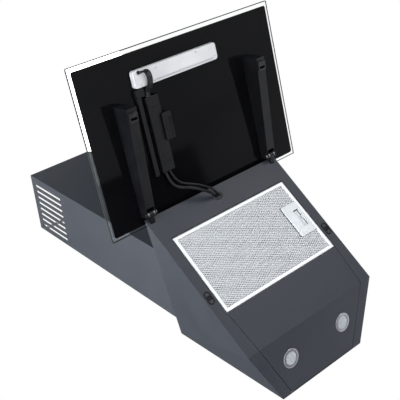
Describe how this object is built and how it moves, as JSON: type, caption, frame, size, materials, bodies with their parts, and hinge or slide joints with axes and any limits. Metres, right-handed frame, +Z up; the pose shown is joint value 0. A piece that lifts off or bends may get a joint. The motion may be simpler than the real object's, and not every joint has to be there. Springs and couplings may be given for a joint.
{
  "type": "angled cooker hood",
  "caption": "Wall-hung angled cooker hood with a chimney, a tilting glass front cover, a lift-out metal grease filter and two lamps.",
  "frame": {"origin": "centre of the rectangle of four wall holes, on the wall face of the back panel", "axes": "+Z up along the chimney, +Y into the wall, -Y out of the front, +X across"},
  "size_m": [0.6, 0.7464, 1.102],
  "materials": {
    "hood_paint": "satin dark grey powder coat",
    "black_steel": "satin black coat",
    "galvanised": "zinc-coated sheet",
    "steel": "plain bright steel",
    "filter_aluminium": "bright anodised",
    "latch_plastic": "pale satin",
    "black_plastic": "fine satin black",
    "fan_plastic": "moulded grey",
    "motor_metal": "cast",
    "control_plastic": "pale grey",
    "clear_glass": "polished, tempered",
    "black_print": "gloss black enamel on the glass",
    "rubber": "matt black",
    "lamp_metal": "satin",
    "lamp_lens": "frosted",
    "board": "solder-masked board",
    "capacitor_can": "white can"
  },
  "bodies": {
    "hood": {"back_panel": "galvanised", "body_shell": "hood_paint", "cable_gland": "rubber", "capacitor": "capacitor_can", "catch_left": "black_plastic", "catch_right": "black_plastic", "chimney_bracket": "galvanised", "chimney_cover": "hood_paint", "chimney_screws": "hood_paint", "circuit_board": "board", "damper_pins": "steel", "electronics_box": "galvanised", "fan_front_plate": "galvanised", "fan_housing": "galvanised", "filter_frame": "filter_aluminium", "filter_mesh": "filter_aluminium", "filter_surround": "galvanised", "friction_washers": "steel", "hinge_bracket_left": "black_steel", "hinge_bracket_right": "black_steel", "hinge_pins": "steel", "inlet_ring": "fan_plastic", "lamp_bezel_left": "lamp_metal", "lamp_bezel_right": "lamp_metal", "lamp_housing_left": "lamp_metal", "lamp_housing_right": "lamp_metal", "lamp_lens_left": "lamp_lens", "lamp_lens_right": "lamp_lens", "lamp_panel": "hood_paint", "latch_plate": "latch_plastic", "latch_spring": "steel", "mains_gland": "black_plastic", "motor_housing": "motor_metal", "motor_mounts": "rubber", "outlet_collar": "black_plastic", "panel_clips": "galvanised", "power_cable": "rubber", "scroll_wall": "galvanised", "signal_cable": "rubber"},
    "door": {"glass_panel": "clear_glass", "glass_print": "black_print", "hinge_arm_left": "black_steel", "hinge_arm_right": "black_steel", "door_strikers": "steel", "control_housing": "control_plastic", "control_screws": "steel", "touch_board": "board", "cable_rail": "black_plastic", "cable_cover": "black_plastic", "connector_box": "black_plastic", "lead_sleeve": "rubber", "control_lead": "rubber"},
    "latch": {"filter_latch": "latch_plastic"},
    "fan_wheel": {"impeller": "fan_plastic", "motor_shaft": "steel", "wheel_nut": "steel"},
    "flap_left": {"damper_flap_left": "black_plastic"},
    "flap_right": {"damper_flap_right": "black_plastic"}
  },
  "joints": [
    {"name": "cover_hinge", "type": "hinge", "parent": "hood", "child": "door", "pos_m": [0, -0.38435, 0.12014], "axis": [1, 0, 0], "range_deg": [0, 130], "deforming": ["power_cable", "signal_cable"]},
    {"name": "latch_slide", "type": "slide", "parent": "hood", "child": "latch", "axis": [1, 0, 0], "range_m": [-0.006, 0], "stiffness_N_per_m": 400, "springref_m": 0.003, "deforming": ["latch_spring"]},
    {"name": "fan_spin", "type": "hinge", "parent": "hood", "child": "fan_wheel", "pos_m": [0, -0.09, -0.004], "axis": [0, -1, 0], "continuous": true},
    {"name": "flap_left_swing", "type": "hinge", "parent": "hood", "child": "flap_left", "pos_m": [-0.004, -0.095, 0.142], "axis": [0, 1, 0], "range_deg": [0, 80]},
    {"name": "flap_right_swing", "type": "hinge", "parent": "hood", "child": "flap_right", "pos_m": [0.004, -0.095, 0.142], "axis": [0, -1, 0], "range_deg": [0, 80]}
  ]
}
